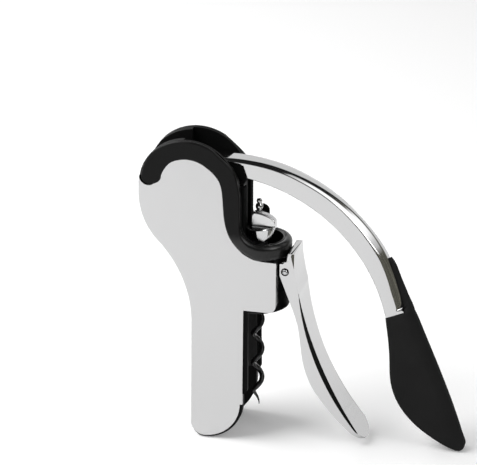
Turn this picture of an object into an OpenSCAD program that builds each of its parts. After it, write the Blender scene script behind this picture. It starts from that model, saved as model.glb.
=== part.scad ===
// Upright lever corkscrew, in millimetres: X runs from the head towards the grip, Y away from the
// viewer, Z up from the table. Every piece is placed from the middle of the legs and then moved so
// that the whole outline stands centred over the origin.

/* [Stance] */
// Height of the lever pivot above the table
pivot_height = 143; // [125:1:165]
// How far the pivot stands behind the middle of the legs
head_offset = 17.5; // [14:0.5:22]
// How far the screw line stands in front of the middle of the legs
screw_offset = 18.5; // [16.5:0.5:22]
// Half depth over the side covers at pivot height
half_depth = 14.6; // [14:0.2:18]
// Outward lean of each side, in degrees
flare = 2.3; // [1:0.1:3.5]

/* [Head and legs] */
// Radius of the round head
head_radius = 28; // [27:0.5:32]
// Inner radius of the dark band round the head
band_radius = 17.8; // [15:0.2:20]
// Width of each leg
leg_width = 29; // [26:0.5:34]
// Radius of the long curve at the foot of each leg
foot_radius = 22; // [18:0.5:28]
// Thickness of the bright side covers
cover_thick = 1.6; // [1:0.1:2]
// How far the dark band stands proud of the covers
band_rise = 0.5; // [0.2:0.1:1]
// Half width of the wide part of the lever slot
slot_half = 10.5; // [10:0.1:11]
// Half width of the narrow part of the lever slot
slot_narrow = 7.2; // [7:0.1:8]

/* [Collar] */
// Drop from the lever pivot to the collar's upper edge, under the ring
collar_drop = 35.6; // [33:0.2:40]
// Height of the collar without its ring
collar_depth = 30.9; // [26:0.1:36]
// Outer radius of the cork tube and its ring
tube_radius = 17.4; // [16.5:0.1:19]
// Radius of the cork tube's bore
bore_radius = 12.6; // [12:0.1:13]
// Radius of the trough that takes the bottle neck
neck_radius = 15.2; // [14.6:0.1:15.6]
// Height of the ring on top of the collar
ring_height = 8.1; // [6:0.1:9]

/* [Lever] */
// Angle from the lowered lever to the raised one, in degrees
lever_swing = 147; // [110:1:150]
// Half width of the lever arm
arm_half = 6.4; // [5:0.1:6.6]
// Half width of the grip
grip_half = 7.4; // [6.8:0.1:9]
// Teeth that a whole turn of the gear would have
gear_teeth = 24; // [20:1:28]
// Half width of the gear sector and the rack
gear_half = 4; // [3:0.1:4.4]

/* [Screw] */
// Outside diameter of the screw
screw_size = 7.8; // [7:0.1:9]
// Diameter of the wire it is wound from
wire_size = 2.8; // [2.2:0.1:3]
// Rise of one turn
screw_pitch = 17.5; // [14:0.5:20]
// Height of its point above the table when the lever is down
tip_height = 13.8; // [10:0.2:20]
// Radius of the smooth shaft above it
shaft_radius = 3; // [2.6:0.1:3.2]

/* [Clamp] */
// Half width of the clamp lever
clamp_half = 12; // [11.4:0.1:13]
// Swing of the clamp lever until it grips a neck, in degrees
clamp_swing = 18; // [8:1:18]
// Radius of its hinge pin
clamp_pin_radius = 1.5; // [1.2:0.1:1.8]

/* [Clearances] */
// Gap on the radius of a turning pin
run_gap = 0.05; // [0.02:0.01:0.1]
// Gap between pieces that slide past each other
slide_gap = 0.3; // [0.2:0.05:0.5]

/* [Hidden] */
$fn = 96;
eps = 0.02;
far_reach = 200;
pivot_x = -head_offset;
pivot_z = pivot_height;
gear_run = 12;
gear_radius = head_offset + screw_offset - gear_run;
gear_module = 2 * gear_radius / gear_teeth;
stroke = gear_radius * lever_swing * PI / 180;
lever_k = pivot_height / 143;
grip_end = [149.7, -139.5] * lever_k;
tip_round = pivot_z + grip_end[1];
reach = pivot_x + grip_end[0] + tip_round;
head_mid = [pivot_x, pivot_z];
head_back = head_radius - 1.3;
brow_angle = 132;
brow_radius = (head_back + head_radius * cos(brow_angle)) / (1 + cos(brow_angle));
brow = head_mid + (head_radius - brow_radius + 0.05) * [cos(brow_angle), sin(brow_angle)];
stand_x = -round(5 * (reach + brow[0] - brow_radius)) / 10;
axle_radius = 4;
hub_radius = 9.5;
bush_wall = 1.5;
leg_left = -leg_width / 2;
leg_right = leg_width / 2;
rim = 2.4;
collar_top = pivot_height - collar_drop;
collar_bottom = collar_top - collar_depth;
ring_top = collar_top + ring_height;
helix_radius = (screw_size - wire_size) / 2;
socket_bottom = collar_bottom + 9.5;
bracket_bottom = collar_top + 7.8;
bracket_top = bracket_bottom + 5.6;
hub_offset = 2.2;
hub_size = 6.6;
nut_bottom = collar_bottom + 0.6;
nut_thick = 3.2;
clamp_x = screw_offset + tube_radius + 0.4;
clamp_z = collar_top - 7;
lug_radius = clamp_pin_radius + 0.6;
flank = 1.6;
clamp_k = clamp_z / 100.4;
collar_right = screw_offset + tube_radius - 3.5;
collar_lip = 1.2;
ring_shift = 1.3;
ring_round = 6;
rail_groove = 1.3;

dark = [0.09, 0.09, 0.1];
bright = [0.82, 0.82, 0.83];
steel = [0.6, 0.61, 0.63];
rubber = [0.15, 0.15, 0.16];
bronze = [0.6, 0.48, 0.3];

// Points along an arc about c, from angle a to angle b
function arc(c, r, a, b, n = 24) =
    [for (i = [0:n]) c + r * [cos(a + (b - a) * i / n), sin(a + (b - a) * i / n)]];

// Stands a piece in the object's own frame, in its colour
module seat(shade) color(shade) translate([stand_x, 0, 0]) children();

// Draws an outline of the side view as a plate between two depths
module slab(y0, y1) translate([0, y1, 0]) rotate([90, 0, 0]) linear_extrude(y1 - y0) children();

// A round pin or hole along the depth at a place in the side view
module across(x, z, r, y0, y1) translate([x, y1, z]) rotate([90, 0, 0]) cylinder(r = r, h = y1 - y0);

// A plate that leans with the near side, between two depths counted inwards from its outer face
module leaning(d0, d1) translate([0, -half_depth, pivot_z]) rotate([-flare, 0, 0])
    translate([0, 0, -pivot_z]) slab(d0, d1) children();

// Keeps only what lies on the near side of the middle plane and above the table
module near_half() intersection() {
    children();
    translate([-far_reach, -far_reach, 0]) cube([2 * far_reach, far_reach, 2 * far_reach]);
}

module far() mirror([0, 1, 0]) children();

// A smooth line through points, with n steps from each point to the next
function through(p, n = 6) = [for (i = [0:len(p) - 2], k = [0:n - 1]) let (
    t = k / n,
    a = p[max(i - 1, 0)], b = p[i], c = p[i + 1], d = p[min(i + 2, len(p) - 1)])
    b + ((c - a) * t + (2 * a - 5 * b + 4 * c - d) * t * t + (3 * b - a - 3 * c + d) * t * t * t) / 2];

// Round head, which turns more tightly behind the brow
module crown2d() {
    intersection() {
        translate(head_mid) circle(head_radius);
        translate(head_mid) rotate(brow_angle - 90) translate([0, -far_reach]) square([far_reach, 2 * far_reach]);
    }
    translate(brow) circle(brow_radius);
}

// Head with the wide cheek that leads into the waist
cheek = [pivot_x + 11.3, pivot_z - 3];
cheek_radius = head_back + 11.3;
module head2d() {
    crown2d();
    translate([pivot_x - head_back + 0.02, cheek[1]]) square([head_back, brow[1] - cheek[1]]);
    intersection() {
        translate(cheek) circle(cheek_radius);
        translate([pivot_x - far_reach, cheek[1] + 3 - far_reach]) square(far_reach);
    }
}

// Hollow of the waist, which just bites the cheek and runs down into the back of the legs
waist_drop = 72;
waist_in = cheek[0] - leg_left;
waist_touch = cheek_radius - 0.06;
waist_radius = (waist_in * waist_in + waist_drop * waist_drop - waist_touch * waist_touch)
    / (2 * (waist_touch - waist_in));
waist = [leg_left - waist_radius, cheek[1] - waist_drop];
cheek_foot = cheek + (waist - cheek) * waist_touch / (waist_touch + waist_radius);
module waist2d() translate(waist) circle(waist_radius);

// Leg with a small curve behind and a long one in front, drawn in by d at the foot
module leg2d(d = 0) difference() {
    intersection() {
        translate([leg_left, 0]) square([leg_width, pivot_z - 50]);
        union() {
            translate([leg_left, foot_radius]) square([leg_width, pivot_z]);
            translate([leg_right - foot_radius, foot_radius]) circle(foot_radius - d);
        }
    }
    difference() {
        translate([leg_left - 1, -1]) square(8.5);
        translate([leg_left + 7.5, 7.5 + d]) circle(7.5);
    }
}

// Trunk between the head and the legs
module trunk2d() difference() {
    translate([cheek_foot[0], waist[1]]) square([leg_right - cheek_foot[0], pivot_z - waist[1]]);
    waist2d();
    translate([8, collar_top]) square([far_reach, far_reach]);
}

// Line of the band's sweep from the head into the ring, and all that lies in front of it
sweep_start = 55;
sweep_head = [[14.1, 11.6], [17.6, 7.4], [19.2, 2.8], [19.9, -2.9]] * band_radius / 17.8;
sweep_foot = [[-15.7, 27], [-15.1, 21.3], [-13.8, 15.7], [-11.3, 10.1], [-6.6, 4.6], [-0.8, 1], [4.8, -0.5],
    [11.5, -0.8], [20, -0.8]];
sweep_line = through(concat(
    [head_mid + band_radius * [cos(sweep_start), sin(sweep_start)]],
    [for (p = sweep_head) head_mid + p],
    [for (p = sweep_foot) [screw_offset, collar_top] + p]
), 4);
module front2d() polygon(concat(sweep_line, [
    [far_reach, collar_top - 0.8], [far_reach, far_reach], [sweep_line[0][0], far_reach]
]));

// Band over the head, which runs down behind the lever and turns forward into the ring
band_right = screw_offset - 6.4;
band_turn = 10.5;
band_back = head_back + 0.3;
band_end = (band_back + band_radius) / 2 * [cos(163), sin(163)];
band_front = [[18.4, 18.4], [24.7, 14.6], [27.5, 9], [28.7, 3.6], [29.4, -2]] * head_radius / 28;
module band2d() {
    difference() {
        crown2d();
        translate(head_mid) circle(band_radius);
        translate([-far_reach, 0]) square([far_reach + pivot_x, pivot_z + band_end[1]]);
        translate([pivot_x, 0]) square([far_reach, pivot_z]);
        translate([sweep_line[0][0] + 0.2, 0]) square(far_reach);
    }
    intersection() {
        translate(head_mid + band_end) circle((band_back - band_radius) / 2 + 0.35);
        crown2d();
    }
    intersection() {
        front2d();
        union() {
            translate(head_mid) circle(head_radius);
            polygon(concat(
                [for (p = band_front) head_mid + p],
                [[band_right, pivot_z - 8]],
                arc([band_right + band_turn, ring_top + band_turn], band_turn, 180, 255, 10),
                [[band_right + band_turn - 2.7, collar_top - 0.4], [pivot_x + 8, collar_top - 0.4], head_mid + [8, 12]]
            ));
        }
    }
}

// Collar face under the band's sweep, with a rounded lower corner
module collar2d() difference() {
    translate([-4, collar_bottom + collar_lip]) square([collar_right + 4, pivot_z - collar_bottom - collar_lip]);
    front2d();
    translate([0, collar_bottom + collar_lip]) difference() {
        translate([collar_right - 4, -1]) square([5, 5]);
        translate([collar_right - 4, 4]) circle(4);
    }
}

module cover2d() difference() {
    union() {
        head2d();
        trunk2d();
        collar2d();
        leg2d(1.4);
    }
    band2d();
}

// Dark frame half, which shows as a rim beside the leg and under the foot
pad_bottom = 31;
module core2d() {
    head2d();
    trunk2d();
    leg2d();
    band2d();
    translate([leg_right - 1, pad_bottom]) square([rim + 1, collar_bottom - pad_bottom]);
    translate([leg_right - 1, pad_bottom]) circle(rim + 1);
}

// Room for the lever, its gear and the rack inside the frame
module lever_room() {
    room = gear_radius + gear_module * 0.95 + 0.5;
    slab(-slot_narrow, slot_narrow) {
        translate([pivot_x, pivot_z]) circle(room);
        translate([-far_reach, pivot_z - 7]) square([2 * far_reach, far_reach]);
    }
    slab(-slot_half, slot_half) {
        translate([pivot_x - 2.5, pivot_z - 5]) square(far_reach);
        translate([1.5, collar_top]) square(far_reach);
    }
    across(pivot_x, pivot_z, hub_radius + 0.7, -slot_half, slot_half);
}

// Round room that the tube and ring fill
module tube_room() translate([screw_offset, 0, collar_bottom])
    cylinder(r = tube_radius, h = ring_top - collar_bottom);

// Bottle neck space, open at the foot
module neck_room() translate([screw_offset, 0, -1]) cylinder(r = neck_radius, h = collar_bottom + 1);

// Places of the through screws and of the cover's pegs
screw_places = [[-16, pivot_z - 40], [-6, pivot_z - 75], [-8, 18]];
peg_places = [[pivot_x - 17, pivot_z - 4], [-14, pivot_z - 52], [-9, 50], [-3, 12]];
peg_radius = 2;
peg_long = 3;
screw_radius = 2;
head_deep = 3;

module core_half() near_half() difference() {
    leaning(cover_thick, half_depth * 2) core2d();
    lever_room();
    tube_room();
    neck_room();
    across(pivot_x, pivot_z, axle_radius, -far_reach, 1);
    for (p = screw_places) {
        across(p[0], p[1], screw_radius, -far_reach, 1);
        across(p[0], p[1], 2 * screw_radius, -far_reach, -slot_half + head_deep);
    }
    for (p = peg_places)
        leaning(0, cover_thick + peg_long + 0.2) translate(p) circle(peg_radius);
}
module core_near() seat(dark) core_half();
module core_far() seat(dark) far() core_half();

// Bright cover with pegs behind it and a return at the front edge of the collar
module side_cover() {
    leaning(0, cover_thick) cover2d();
    for (p = peg_places)
        leaning(cover_thick - eps, cover_thick + peg_long) translate(p) circle(peg_radius);
    difference() {
        leaning(cover_thick - eps, 9) intersection() {
            collar2d();
            translate([collar_right - 1.5, collar_bottom]) square([2, collar_top - collar_bottom - 0.4]);
        }
        tube_room();
    }
}
module side_cover_near() seat(bright) side_cover();
module side_cover_far() seat(bright) far() side_cover();

// Dark band over the head that runs down into the ring
module head_band() difference() {
    leaning(-band_rise, cover_thick) band2d();
    tube_room();
}
module head_band_near() seat(dark) head_band();
module head_band_far() seat(dark) far() head_band();

// What the covers take away from the round collar
module cover_planes() {
    leaning(-20, cover_thick) cover2d();
    far() leaning(-20, cover_thick) cover2d();
}

// Way of the rack through the back of the collar
module rack_way() translate([-10, -gear_half - 0.4, 0])
    cube([10 + screw_offset - bore_radius + 3, 2 * gear_half + 0.8, far_reach]);

module cork_tube() seat(dark) difference() {
    union() {
        translate([screw_offset, 0, collar_bottom])
            cylinder(r = tube_radius, h = collar_top - collar_bottom);
        across(clamp_x, clamp_z, lug_radius, -clamp_half + flank + 0.5, clamp_half - flank - 0.5);
    }
    translate([screw_offset, 0, nut_bottom]) cylinder(r = bore_radius, h = far_reach);
    translate([screw_offset, 0, 0]) cylinder(r = bore_radius - 1, h = far_reach);
    rack_way();
    cover_planes();
    leaning(-20, cover_thick) square(far_reach * 2, center = true);
    far() leaning(-20, cover_thick) square(far_reach * 2, center = true);
    across(clamp_x, clamp_z, clamp_pin_radius, -far_reach, far_reach);
}

// Rounded ring round the top of the collar, drawn out a little towards the clamp
module ring2d() intersection() {
    translate([bore_radius, collar_top]) square([tube_radius - bore_radius, ring_height]);
    translate([tube_radius - ring_round, ring_top - ring_round - 0.2]) circle(ring_round);
}
module collar_ring() seat(dark) difference() {
    union() {
        translate([screw_offset, 0, 0]) rotate(90) rotate_extrude(angle = 180) ring2d();
        translate([screw_offset + ring_shift, 0, 0]) rotate(-90) rotate_extrude(angle = 180) ring2d();
        translate([screw_offset, 0, 0]) rotate([90, 0, 90]) linear_extrude(ring_shift) {
            ring2d();
            mirror([1, 0]) ring2d();
        }
    }
    rack_way();
    cover_planes();
    leaning(-20, -band_rise) square(far_reach * 2, center = true);
    far() leaning(-20, -band_rise) square(far_reach * 2, center = true);
}

// Angle of the wire where it passes height z
function wire_turn(z) = 14 + 360 * (z - 65.9) / screw_pitch;

// Slice of the wire with room round it, bent along its own circle
module wire_slot(room = 0.45) {
    half = wire_size / 2 + room;
    ends = 180 / PI * half / sin(atan(screw_pitch / (2 * PI * helix_radius))) / helix_radius;
    width = [for (i = [-8:8]) half * sqrt(1 - pow(i / 8.3, 2))];
    polygon(concat(
        [for (i = [-8:8]) (helix_radius + width[i + 8]) * [cos(ends * i / 8), sin(ends * i / 8)]],
        [for (i = [8:-1:-8]) (helix_radius - width[i + 8]) * [cos(ends * i / 8), sin(ends * i / 8)]]
    ));
}

// Disc that turns the screw as it passes
module screw_nut() seat(steel) difference() {
    translate([screw_offset, 0, nut_bottom]) cylinder(r = bore_radius, h = nut_thick);
    translate([0, -gear_half - 2.8, 0]) cube([screw_offset - helix_radius - 3.6, 2 * gear_half + 5.6, far_reach]);
    translate([screw_offset, 0, nut_bottom - 0.5]) rotate(wire_turn(nut_bottom - 0.5))
        linear_extrude(nut_thick + 1, twist = -360 * (nut_thick + 1) / screw_pitch, slices = 5) wire_slot();
}

// Soft ring that meets the mouth of the bottle
module bottle_seat() seat(rubber) translate([screw_offset, 0, collar_bottom - 1.2]) difference() {
    cylinder(r = neck_radius, h = 1.2);
    translate([0, 0, -1]) cylinder(r = bore_radius - 0.6, h = 4);
}

// Soft lining of the trough behind the neck
module neck_pad() seat(rubber) translate([screw_offset, 0, pad_bottom]) rotate(105)
    rotate_extrude(angle = 150) translate([neck_radius - 1.2, 0]) square([1.2, collar_bottom - pad_bottom - 4]);

// Grooved rail that keeps the rack in mesh
rack_back = pivot_x + gear_radius + 5.5;
rack_wing = gear_half + 2.2;
rail_front = rack_back + 1.4;
module rail() difference() {
    translate([rack_back - 3.5, -slot_half, ring_top + 0.3])
        cube([rail_front - rack_back + 3.5, slot_half - gear_half - 0.4, pivot_z + 3 - ring_top - 0.3]);
    translate([rack_back - 2 - slide_gap, -rack_wing - slide_gap, 0])
        cube([2 + 2 * slide_gap, rack_wing, far_reach]);
}
module rail_near() seat(dark) rail();
module rail_far() seat(dark) far() rail();

module lever_axle() seat(steel) across(pivot_x, pivot_z, axle_radius, -half_depth + cover_thick + 0.4,
    half_depth - cover_thick - 0.4);

// Screws through both frame halves, with their nuts
module frame_screws() seat(steel) for (p = screw_places) {
    across(p[0], p[1], screw_radius, -slot_half, slot_half + 0.4);
    across(p[0], p[1], 2 * screw_radius - 0.3, -slot_half + 0.2, -slot_half + head_deep);
}
module frame_nuts() seat(steel) for (p = screw_places) difference() {
    across(p[0], p[1], 2 * screw_radius - 0.2, slot_half - head_deep, slot_half);
    across(p[0], p[1], screw_radius, 0, far_reach);
}

module clamp_pin() seat(steel) across(clamp_x, clamp_z, clamp_pin_radius, -clamp_half - 0.3, clamp_half + 0.3);

// Draws lever pieces about the pivot, in the side view
module at_pivot(y0, y1) translate([pivot_x, 0, pivot_z]) slab(y0, y1) children();

// Lever outline: two long arcs, the slanted start of the bright flank and the start of the grip
top_arc = [21.5, -83] * lever_k;
top_radius = 100.2 * lever_k;
low_arc = [15.5, -86.6] * lever_k;
low_radius = 95 * lever_k;
arm_end = 12.2;
strip_start = 95.7;
strip_thick = 2.2;
flank_start = [[31.3, 7.4], [29.1, 14], [23.6, 14.8]] * lever_k;
module arm2d() polygon(concat(
    arc(top_arc, top_radius, strip_start, arm_end, 40),
    arc(low_arc, low_radius, arm_end, 80.5, 32),
    flank_start,
    arc(top_arc, top_radius - strip_thick, 88.8, strip_start, 4)
));
module lever_arm() seat(bright) at_pivot(-arm_half, arm_half) arm2d();

// Hub with the dark root that carries the arm
module root2d() difference() {
    polygon(concat([[1, hub_radius - 1]], arc(top_arc, top_radius - strip_thick, strip_start, 88.8, 4),
        [flank_start[2], flank_start[1], flank_start[0], [hub_radius, 1.5]]));
    circle(hub_radius - 1);
}
module lever_hub() seat(dark) difference() {
    union() {
        at_pivot(-slot_half + 0.5, slot_half - 0.5) circle(hub_radius);
        at_pivot(-arm_half, arm_half) root2d();
    }
    across(pivot_x, pivot_z, axle_radius + bush_wall, -far_reach, far_reach);
}

module hub_bush() seat(bronze) difference() {
    across(pivot_x, pivot_z, axle_radius + bush_wall, -slot_half + 0.5, slot_half - 0.5);
    across(pivot_x, pivot_z, axle_radius + run_gap, -far_reach, far_reach);
}

// Involute teeth on the pitch circle of the gear
press = 20;
flank_play = 0.25;
base_radius = gear_radius * cos(press);
tooth_tip = gear_radius + 0.95 * gear_module;
tooth_root = gear_radius - 1.2 * gear_module;
gear_span = lever_swing + 10;
function involute(a) = tan(a) * 180 / PI - a;
function tooth_half(r) = (PI * gear_module / 4 - flank_play / 2) / gear_radius * 180 / PI
    + involute(press) - involute(acos(min(1, base_radius / r)));
tooth_steps = [for (i = [0:5]) base_radius + (tooth_tip - base_radius) * i / 5];
module tooth2d() polygon(concat(
    [(tooth_root - 1) * [cos(tooth_half(base_radius)), sin(tooth_half(base_radius))]],
    [for (r = tooth_steps) r * [cos(tooth_half(r)), sin(tooth_half(r))]],
    [for (i = [5:-1:0]) tooth_steps[i] * [cos(tooth_half(tooth_steps[i])), -sin(tooth_half(tooth_steps[i]))]],
    [(tooth_root - 1) * [cos(tooth_half(base_radius)), -sin(tooth_half(base_radius))]]
));

// Slice of a disc that runs down from the level line through an angle
module wedge2d(r, span) polygon(concat([[0, 0]], arc([0, 0], r, 0, -span, 48)));
module gear_sector() seat(steel) at_pivot(-gear_half, gear_half) difference() {
    union() {
        rotate(5) wedge2d(tooth_root, gear_span + 12);
        for (k = [0:floor(gear_span * gear_teeth / 360)]) rotate(-k * 360 / gear_teeth) tooth2d();
    }
    circle(hub_radius + 0.02);
}

// Grip that starts as a lip outside the arm and ends in a round tip
grip_arc = [159.5, -93.3] * lever_k;
grip_radius = 48.6 * lever_k;
lip_angle = 29.5;
lip_line = [for (p = [[2, 0.4], [5.5, 1.1]])
    top_arc + (top_radius + p[1]) * [cos(lip_angle - p[0]), sin(lip_angle - p[0])]];
grip_out = 23;
neck_line = [[102.8, -52], [107.8, -66.7], [110.4, -78], [111.2, -88], [111.6, -101]] * lever_k;
module grip2d() difference() {
    polygon(concat(
        [top_arc + (top_radius - 1) * [cos(lip_angle + 1), sin(lip_angle + 1)]],
        [top_arc + top_radius * [cos(lip_angle), sin(lip_angle)]],
        lip_line,
        arc(grip_end, tip_round, grip_out, -121, 10),
        arc(grip_arc, grip_radius, 248, 192, 16),
        [for (i = [18:-1:3]) through(neck_line, 5)[i]]
    ));
    arm2d();
    polygon(concat([[0, 0]], arc(top_arc, top_radius - 1, 90, arm_end + 0.6, 30),
        [top_arc + (top_radius - 1) * [cos(arm_end), sin(arm_end)]],
        [low_arc + low_radius * [cos(arm_end), sin(arm_end)]], [[106, -67.5] * lever_k, [60, -80] * lever_k]));
}
module lever_grip() seat(dark) difference() {
    at_pivot(-grip_half, grip_half) grip2d();
    at_pivot(-2.5, 2.5) tang2d();
    for (p = pin_places) across(pivot_x + p[0], pivot_z + p[1], 2, -5, 5);
}

// Steel tang inside the grip
tang_top = [113.6, -65.6] * lever_k;
module tang2d() difference() {
    translate(tang_top) rotate(-69) translate([-3, -4]) square([37, 8]);
    arm2d();
}
pin_places = [for (d = [10, 26]) tang_top + d * [cos(-69), sin(-69)]];
module grip_tang() seat(steel) difference() {
    at_pivot(-2.5, 2.5) tang2d();
    for (p = pin_places) across(pivot_x + p[0], pivot_z + p[1], 2, -5, 5);
}
module grip_pins() seat(steel) for (p = pin_places) across(pivot_x + p[0], pivot_z + p[1], 2, -5, 5);

// Rack with wings that run in the rails
rack_line = pivot_x + gear_radius;
rack_pitch = PI * gear_module;
rack_low = collar_bottom + 1.2;
rack_high = pivot_z + 3.4;
module rack_tooth2d() {
    half = rack_pitch / 4 - flank_play / 2;
    lean = tan(press) * gear_module;
    polygon([
        [-0.95 * gear_module, -half + 0.95 * lean], [1.2 * gear_module + 1, -half - 1.2 * lean],
        [1.2 * gear_module + 1, half + 1.2 * lean], [-0.95 * gear_module, half - 0.95 * lean]
    ]);
}
module rack() seat(steel) {
    slab(-gear_half, gear_half) intersection() {
        union() {
            translate([rack_line + 1.2 * gear_module, rack_low])
                square([rack_back - rack_line - 1.2 * gear_module, rack_high - rack_low]);
            for (k = [0:floor((pivot_z - rack_low) / rack_pitch) + 1])
                translate([rack_line, pivot_z + rack_pitch / 2 - k * rack_pitch]) rack_tooth2d();
        }
        translate([rack_line - 5, rack_low]) square([rack_back - rack_line + 5, rack_high - rack_low]);
    }
    translate([rack_back - 2, -rack_wing, rack_low]) cube([2, 2 * rack_wing, rack_high - rack_low]);
}

// Bright bracket that ties the rack to the screw
module carriage_bracket() seat(bright) difference() {
    union() {
        translate([screw_offset + hub_offset, 0, bracket_bottom])
            cylinder(r = hub_size, h = bracket_top - bracket_bottom);
        translate([rack_back, -gear_half + 0.4, bracket_bottom + 1])
            cube([screw_offset - rack_back, 2 * gear_half - 0.8, bracket_top - bracket_bottom - 1]);
    }
    translate([screw_offset, 0, 0]) cylinder(r = shaft_radius + 1.2, h = far_reach);
}
module shaft_bearing() seat(bronze) translate([screw_offset, 0, bracket_bottom]) difference() {
    cylinder(r = shaft_radius + 1.2, h = bracket_top - bracket_bottom);
    translate([0, 0, -1]) cylinder(r = shaft_radius + run_gap, h = 20);
}
// Bright cap with a thin round flange and a slanted top, and the knob that stands on it
flange_radius = 9;
cap_offset = hub_offset + 0.5;
cap_size = 6.9;
module above_cap() translate([screw_offset + cap_offset, 0, bracket_top + 6.6]) rotate([0, 7, 0])
    translate([-20, -20, 0]) cube(40);
module hub_cap() seat(bright) difference() {
    union() {
        intersection() {
            translate([screw_offset, 0, bracket_top]) cylinder(r = flange_radius, h = 0.9);
            translate([rail_front + 0.4, -far_reach, 0]) cube(2 * far_reach);
        }
        translate([screw_offset + cap_offset, 0, bracket_top]) cylinder(r = cap_size, h = 9);
    }
    above_cap();
    translate([screw_offset, 0, bracket_top - 1]) cylinder(r = shaft_radius + 0.9, h = 4.4);
}
module cap_stud() seat(bright) intersection() {
    translate([screw_offset + 0.7, 0, bracket_top + 4]) {
        cylinder(r = 1.8, h = 7.4);
        translate([0, 0, 8.8]) sphere(1.8);
    }
    above_cap();
}

// Smooth shaft with the socket that holds the wire
module screw_shaft() seat(steel) translate([screw_offset, 0, 0]) difference() {
    union() {
        translate([0, 0, socket_bottom]) cylinder(r = helix_radius + wire_size / 2 + 1.4, h = bracket_bottom - 0.4 - socket_bottom);
        translate([0, 0, socket_bottom]) cylinder(r = shaft_radius, h = bracket_top + 2.6 - socket_bottom);
    }
    translate([0, 0, socket_bottom - 1]) cylinder(r = helix_radius + wire_size / 2 + 0.04, h = 10);
}
module shaft_collar() seat(steel) translate([screw_offset, 0, bracket_top + 0.3]) difference() {
    cylinder(r = shaft_radius + 0.6, h = 1.6);
    translate([0, 0, -1]) cylinder(r = shaft_radius, h = 4);
}

// One unbroken wound wire with a drawn-out point
wire_top = socket_bottom + 8;
wire_steps = 30;
wire_sides = 12;
wire_count = ceil((wire_top - tip_height) / screw_pitch * wire_steps);
function wire_at(i) = tip_height + (wire_top - tip_height) * i / wire_count;
function wire_thick(z) = wire_size / 2 * min(1, 0.12 + 0.88 * pow((z - tip_height) / (0.7 * screw_pitch), 0.8));
function wire_mid(z) = [helix_radius * cos(wire_turn(z)), helix_radius * sin(wire_turn(z)), z];
lead = atan(screw_pitch / (2 * PI * helix_radius));
function wire_ring(z) = let (a = wire_turn(z), t = wire_thick(z))
    [for (j = [0:wire_sides - 1]) let (b = 360 * j / wire_sides)
        wire_mid(z) + t * cos(b) * [cos(a), sin(a), 0]
            + t * sin(b) * [-sin(lead) * -sin(a), -sin(lead) * cos(a), cos(lead)]];
wire_points = [for (i = [0:wire_count]) each wire_ring(wire_at(i))];
wire_skin = [for (i = [0:wire_count - 1], j = [0:wire_sides - 1]) let (n = (j + 1) % wire_sides)
    each [[i * wire_sides + j, (i + 1) * wire_sides + j, (i + 1) * wire_sides + n],
        [i * wire_sides + j, (i + 1) * wire_sides + n, i * wire_sides + n]]];
wire_ends = [[for (j = [0:wire_sides - 1]) j],
    [for (j = [wire_sides - 1:-1:0]) wire_count * wire_sides + j]];
module screw_worm() seat(dark) translate([screw_offset, 0, 0])
    polyhedron(wire_points, concat(wire_skin, wire_ends), convexity = 10);

// Least room between neighbouring turns, from the points on the wire's middle line
turn_gaps = [for (i = [wire_steps / 2:wire_steps * 1.5])
    norm(wire_mid(60 + screw_pitch * i / wire_steps) - wire_mid(60)) - wire_size];
echo(least_gap_between_turns = min(turn_gaps));

// Clamp lever outline about its pin: a knuckle, a long hollow outer face and a bellied inner one
clamp_outer = [185.5, 15.6] * clamp_k;
clamp_outer_radius = 180 * clamp_k;
clamp_ends = [188.3, 218.9];
clamp_belly = [[1.2, -13.3], [7.2, -30.4], [10.2, -51.5], [14.2, -64], [20.2, -73.6], [29.8, -84.9], [41.7, -95.9]];
clamp_back = 2.9;
clamp_wall = 2.1;
clamp_crown = [[5.9, -7], [3.5, 2.1], [2.6, 9.2], [1.35, 9.2], [0.9, 5.5], [-2.1, 5.2], [-clamp_back, 4.4]];
module clamp2d() polygon(concat(
    [[-clamp_back, -2.4]],
    through(clamp_belly * clamp_k, 4),
    [[41.7, -95.9] * clamp_k, [44.8, -98.4] * clamp_k],
    arc(clamp_outer, clamp_outer_radius, clamp_ends[1], clamp_ends[0] + 0.6, 28),
    clamp_crown
));
module at_clamp(y0, y1) translate([clamp_x, 0, clamp_z]) slab(y0, y1) children();

// Hollow behind the clamp's outer wall, open towards the neck and clear of the collar
module clamp_hollow2d() {
    difference() {
        translate([-40, -66 * clamp_k]) square([90, 66 * clamp_k - 6]);
        translate(clamp_outer) circle(clamp_outer_radius + clamp_wall, $fn = 720);
    }
    polygon([[-20, -8.5], [5, -8.5], [4.6, -7], [2.25, 2.1], [1.35, 9.2], [1.35, 12], [-20, 12]]);
}

// Tongue that rounds the tip as seen from the front of the clamp
tip_slope = 53;
tip_length = 105.4 * clamp_k;
tip_radius = clamp_half + 0.8;
module clamp_tongue() translate([clamp_x, 0, clamp_z]) rotate([0, tip_slope, 0])
    linear_extrude(2 * far_reach, center = true) {
        translate([-far_reach, -clamp_half]) square([far_reach + tip_length - tip_radius, 2 * clamp_half]);
        intersection() {
            translate([tip_length - tip_radius, 0]) circle(tip_radius);
            translate([0, -clamp_half]) square([far_reach, 2 * clamp_half]);
        }
    }

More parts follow.
